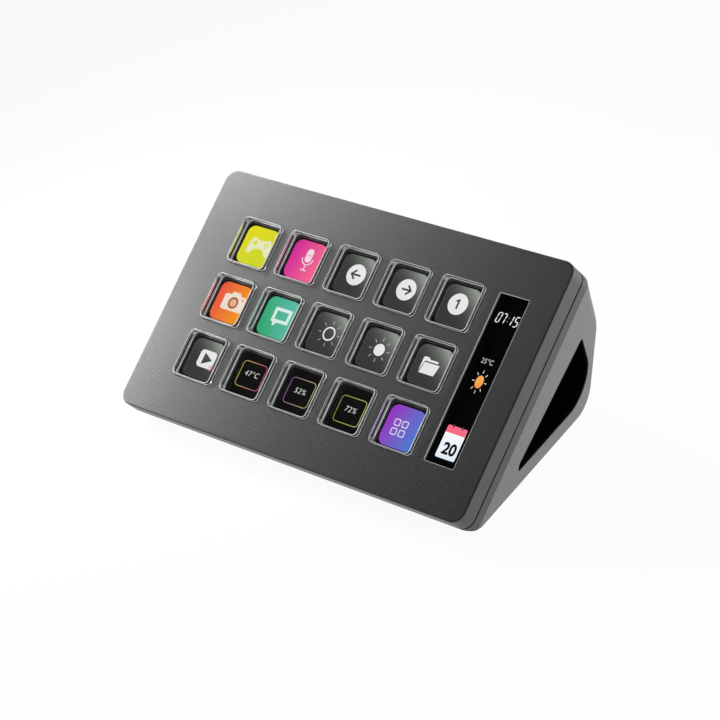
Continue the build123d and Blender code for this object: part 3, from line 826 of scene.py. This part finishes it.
def keyPicture(row, col, look, mark, shift, extras, x, y):
    # A dark film with the lit tile on it, and a grey frame round that
    shape = bmesh.new()
    raised(shape, roundedFace(shape, film["size"], film["size"], film["corner"]), film["thick"])
    bmesh.ops.recalc_face_normals(shape, faces=shape.faces)
    level = film["thick"] + filmThickness / 2
    outside = box(0, 0, film["size"], film["size"], film["corner"])
    window = box(0, tile["y"], tile["width"] + tile["gap"], tile["height"] + tile["gap"], tile["corner"] / 2)
    drawShape(shape, [outside, window], level + filmThickness, extraLook + len(extras))
    if look != "black":
        outline = box(0, tile["y"], tile["width"], tile["height"], tile["corner"], 10)
        drawShape(shape, [outline], level, groundLook)
    drawn = bmesh.new()
    mark(drawn, 0)
    bmesh.ops.translate(drawn, vec=(*shift, level + filmThickness), verts=drawn.verts)
    moved = bpy.data.meshes.new("mark")
    drawn.to_mesh(moved)
    drawn.free()
    shape.from_mesh(moved)
    bpy.data.meshes.remove(moved)
    chart(shape, (-tile["width"] / 2, -tile["height"] / 2), (tile["width"] / 2, tile["height"] / 2))
    ground = {"grey": greyTile, "black": black}.get(look) or pictureLooks[look][0]
    marks = white if look in ("grey", "black") else paleMarks[look]
    looks = [black, ground, marks] + extras + [keyFramePlastic]
    place = onFace(x, y, film["top"] - film["thick"])
    finishPiece(shape, f"picture_row{row}_col{col}", place, f"key_row{row}_col{col}", looks)


for (row, col, x, y), (look, mark, shift, extras) in zip(keySpots(), pictures):
    clearCap(f"keycap_row{row}_col{col}", f"key_row{row}_col{col}", x, y)
    keyPicture(row, col, look, mark, shift, extras, x, y)
print("keys made")

# Silicone sheet: it stays flat, and a collar sits under each key

sheet = {"width": 101.2, "height": 62.4, "corner": 1.7, "top": -4.6, "thick": 0.6}
collar = {"top": -2.5, "inside": 0.3, "outside": 1.0, "corner": 1.7, "travel": 1.2, "play": 0.01}
silicone = plainFinish("silicone", (0.5, 0.51, 0.53), 0.55, 900)


def keyOutline(x, y, margin):
    return box(x, y, cap["width"] + 2 * margin, cap["height"] + 2 * margin, collar["corner"] + margin)


def siliconePiece(name, outlines, bottom, thick, x=0, y=0):
    shape = bmesh.new()
    drawShape(shape, outlines, thick / 2, 0, thick)
    bmesh.ops.remove_doubles(shape, verts=shape.verts, dist=0.001)
    bmesh.ops.recalc_face_normals(shape, faces=shape.faces)
    return finishPiece(shape, name, onFace(x, y, bottom), "case", [silicone])


def makeSheet():
    windows = [keyOutline(x, y, collar["inside"]) for _, _, x, y in keySpots()]
    outline = box(grid["x"], 0, sheet["width"], sheet["height"], sheet["corner"])
    bottom = sheet["top"] - sheet["thick"]
    flat = siliconePiece("silicone_sheet", [outline] + windows, bottom, sheet["thick"])
    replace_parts(flat, "key_membrane")


def makeCollars():
    height = collar["top"] - sheet["top"]
    walls = [keyOutline(0, 0, collar[side]) for side in ("outside", "inside")]
    for row, col, x, y in keySpots():
        piece = siliconePiece(f"collar_row{row}_col{col}", walls, sheet["top"], height, x, y)
        foot = tuple(onFace(x, y, sheet["top"]).translation)
        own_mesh(piece)


makeSheet()
makeCollars()
print("silicone made")

# Information strip

strip = {"x": 53.175, "level": -1.6 + filmThickness}
lensHighlightRim = {
    "width": 11.1, "height": 54.8, "corner": 0.58, "play": 0.04,
    "line": 0.14, "rise": 0.5, "sunk": 0.03,
}
clock = {
    "digits": (("0", -3.1), ("7", -1.45), ("1", 1.05), ("5", 3.2)),
    "y": 20.3, "width": 1.5, "height": 3.4, "stroke": 0.29, "lean": 0.14,
    "dotX": 0.25, "dotRise": 0.6, "dotSize": 0.15,
}
warmth = {"x": -0.3, "y": 6.4, "size": 2.3, "bold": 0.01, "narrow": 0.85, "spread": 1.08}
stripSun = {"radius": 2.0, "squeeze": 0.68, "rays": 8, "rayFrom": 2.7, "rayTo": 3.7, "rayWidth": 0.26}
calendar = {
    "top": -14.7, "bottom": -24.9, "width": 7.0, "corner": 0.5, "header": 2.3,
    "ringX": 1.6, "ringWidth": 0.45, "ringHeight": 1.3, "ringCorner": 0.2,
    "dayX": 0.3, "dayY": -21.9, "daySize": 5.0, "dayBold": 0.18, "dayNarrow": 0.95,
}
strokes = {  # which of the seven strokes each digit lights: a at the top, then clockwise, and g in the middle
    "0": "abcdef", "1": "bc", "5": "acdfg", "7": "abc",
}


def segmentDigit(digit, x, y, width, height, stroke, lean):
    w, h, half = width / 2, height / 2, stroke / 2
    gap = stroke * 0.3  # between one stroke and the next
    across = {"a": h - half, "g": 0, "d": half - h}
    upright = {"f": (half - w, 1), "b": (w - half, 1), "e": (half - w, -1), "c": (w - half, -1)}
    made = []
    for key in strokes[digit]:
        if key in across:
            b, end = across[key], w - half - gap
            outline = [(-end, b), (half - end, b + half), (end - half, b + half),
                       (end, b), (end - half, b - half), (half - end, b - half)]
        else:
            a, side = upright[key]
            low, high = gap, h - half - gap
            outline = [(a, side * low), (a + half, side * (low + half)), (a + half, side * (high - half)),
                       (a, side * high), (a - half, side * (high - half)), (a - half, side * (low + half))]
        made.append([(x + a + b * lean, y + b) for a, b in outline])
    return made


def stripPiece(name, draw, materials):
    shape = bmesh.new()
    draw(shape)
    chart(shape, *[[pick(v.co[i] for v in shape.verts) for i in (0, 1)] for pick in (min, max)])
    finishPiece(shape, name, onFace(strip["x"], 0, strip["level"]), "case", materials)


def stripHighlightRim():
    # The cover's raised rim, against the edge of its window, in a pale satin that paints the highlight along
    # the window's edge
    width, height = lensHighlightRim["width"], lensHighlightRim["height"]
    shape = bmesh.new()
    outline = roundedFace(shape, width - lensHighlightRim["play"], height - lensHighlightRim["play"], lensHighlightRim["corner"])
    bmesh.ops.inset_region(shape, faces=[outline], thickness=lensHighlightRim["line"],
                           use_even_offset=True, use_boundary=True)
    middle = max(shape.faces, key=lambda part: part.calc_area())
    bmesh.ops.delete(shape, geom=[middle], context="FACES_ONLY")
    bmesh.ops.solidify(shape, geom=shape.faces[:], thickness=lensHighlightRim["rise"])
    bmesh.ops.translate(shape, vec=(0, 0, -min(v.co.z for v in shape.verts)), verts=shape.verts)
    bmesh.ops.recalc_face_normals(shape, faces=shape.faces)
    chart(shape, (-width / 2, -height / 2), (width / 2, height / 2))
    place = onFace(strip["x"], 0, -lensHighlightRim["sunk"] - lensHighlightRim["rise"])
    finishPiece(shape, "strip_highlight_rim", place, "case", [rimHighlightAcrylic])


def drawClock(shape):
    sizes = [clock[name] for name in ("width", "height", "stroke", "lean")]
    for digit, x in clock["digits"]:
        for stroke in segmentDigit(digit, x, clock["y"], *sizes):
            drawShape(shape, [stroke], 0, 0)
    for rise in (-clock["dotRise"], clock["dotRise"]):
        dotX = clock["dotX"] + rise * clock["lean"]
        drawShape(shape, [disc(dotX, clock["y"] + rise, clock["dotSize"])], 0, 1)


def drawWarmth(shape):
    drawText(shape, "25°C", warmth["x"], warmth["y"], warmth["size"], 0, 0,
             bold=warmth["bold"], narrow=warmth["narrow"], spread=warmth["spread"])


def squeezed(points):
    return [(x * stripSun["squeeze"], y) for x, y in points]


def drawStripSun(shape):
    drawShape(shape, [squeezed(disc(0, 0, stripSun["radius"]))], 0, 0)
    for turn in range(stripSun["rays"]):
        angle = 360 / stripSun["rays"] * turn
        ray = bar(0, 0, angle, stripSun["rayFrom"], stripSun["rayTo"], stripSun["rayWidth"])
        drawShape(shape, [squeezed(ray)], 0, 1)


def drawCalendar(shape):
    # The card, its pink header, its day and the two rings that it hangs from
    top, bottom, half, corner = calendar["top"], calendar["bottom"], calendar["width"] / 2, calendar["corner"]
    drawShape(shape, [box(0, (top + bottom) / 2, 2 * half, top - bottom, corner)], 0, 0)
    band = arc(half - corner, top - corner, corner, 0, 90) + arc(corner - half, top - corner, corner, 90, 180)
    band += [(-half, top - calendar["header"]), (half, top - calendar["header"])]
    drawShape(shape, [band], filmThickness, 1)
    for x in (-calendar["ringX"], calendar["ringX"]):
        ringOutline = box(x, top, calendar["ringWidth"], calendar["ringHeight"], calendar["ringCorner"])
        drawShape(shape, [ringOutline], 2 * filmThickness, 3)
    drawText(shape, "20", calendar["dayX"], calendar["dayY"], calendar["daySize"], filmThickness, 2,
             bold=calendar["dayBold"], narrow=calendar["dayNarrow"])


lampWhite = glowing("clockWhite", linear("F0F0F0"), linear("FFFFFF"), 0)
dimWhite = glowing("clockGrey", linear("8C8C8C"), linear("A0A0A0"), 0)
softWhite = glowing("warmthGrey", linear("B4B4B4"), linear("C8C8C8"), 0)
sunOrange = glowing("stripSun", linear("F09038"), linear("F8B468"), 90)
sunRay = glowing("stripSunRay", linear("F4E0CC"), linear("FCF0E4"), 90)
cardWhite = glowing("cardWhite", linear("E2ECF4"), linear("FDFDFD"), 90)
cardPink = glowing("cardPink", linear("F0607A"), linear("F86E88"), 90)
cardInk = glowing("cardInk", linear("101214"), linear("181A1C"), 90)
cardRing = glowing("cardRing", linear("2A2226"), linear("3A3036"), 90)
# Pale satin: painted highlight along the strip window's edge
rimHighlightAcrylic = acrylic("rimHighlightAcrylic", 0.9, 0.5, 0.4, 0.2)
stripHighlightRim()
stripPiece("strip_clock", drawClock, [lampWhite, dimWhite])
stripPiece("strip_warmth", drawWarmth, [softWhite])
stripPiece("strip_sun", drawStripSun, [sunOrange, sunRay])
stripPiece("strip_calendar", drawCalendar, [cardWhite, cardPink, cardInk, cardRing])
print("strip made")

bpy.context.scene.view_settings.view_transform = "Standard"
